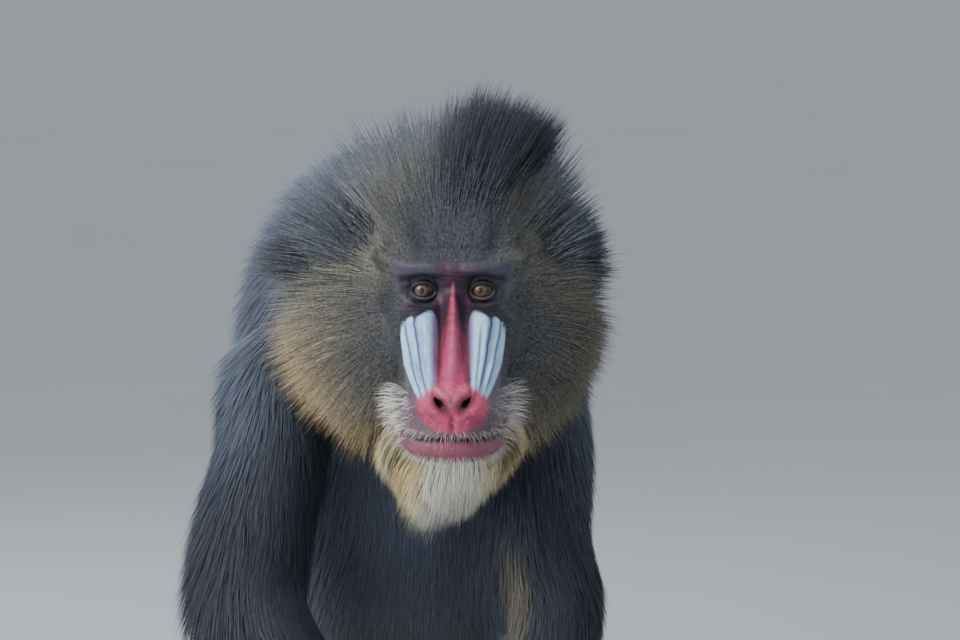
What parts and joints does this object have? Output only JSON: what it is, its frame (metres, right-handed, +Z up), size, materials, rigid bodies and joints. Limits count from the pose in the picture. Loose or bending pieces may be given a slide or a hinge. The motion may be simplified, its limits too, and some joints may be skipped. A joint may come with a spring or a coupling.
{
  "type": "mandrill",
  "caption": "Life-size still model of a seated adult male mandrill with ruff, crest, beard and ridged muzzle, hands and feet flat on the floor.",
  "frame": {"origin": "centre of the model's footprint box, on the floor the animal sits on", "axes": "+Z up from the floor, -Y the way the animal faces, +X to the animal's left"},
  "size_m": [0.515, 0.6248, 0.6797],
  "materials": {
    "coat_dark": "long dark grey coat, matte",
    "coat_olive": "olive speckled coat, matte",
    "coat_grey": "grey coat, matte",
    "beard_yellow": "yellow and white beard, matte",
    "hand_skin": "dark bare skin, slightly glossy",
    "ear_skin": "greyish pink bare skin",
    "eye": "glossy orange-brown"
  },
  "bodies": {
    "root": {"head": "coat_olive", "jaw": "beard_yellow", "eye_left": "eye", "eye_right": "eye", "ear_left": "ear_skin", "ear_right": "ear_skin", "neck": "coat_olive", "torso": "coat_dark", "hips": "coat_dark", "tail": "coat_grey", "upper_arm_left": "coat_dark", "upper_arm_right": "coat_dark", "forearm_left": "coat_dark", "forearm_right": "coat_dark", "hand_left": "hand_skin", "hand_right": "hand_skin", "thigh_left": "coat_grey", "thigh_right": "coat_grey", "shin_left": "coat_dark", "shin_right": "coat_dark", "foot_left": "hand_skin", "foot_right": "hand_skin"}
  },
  "joints": []
}
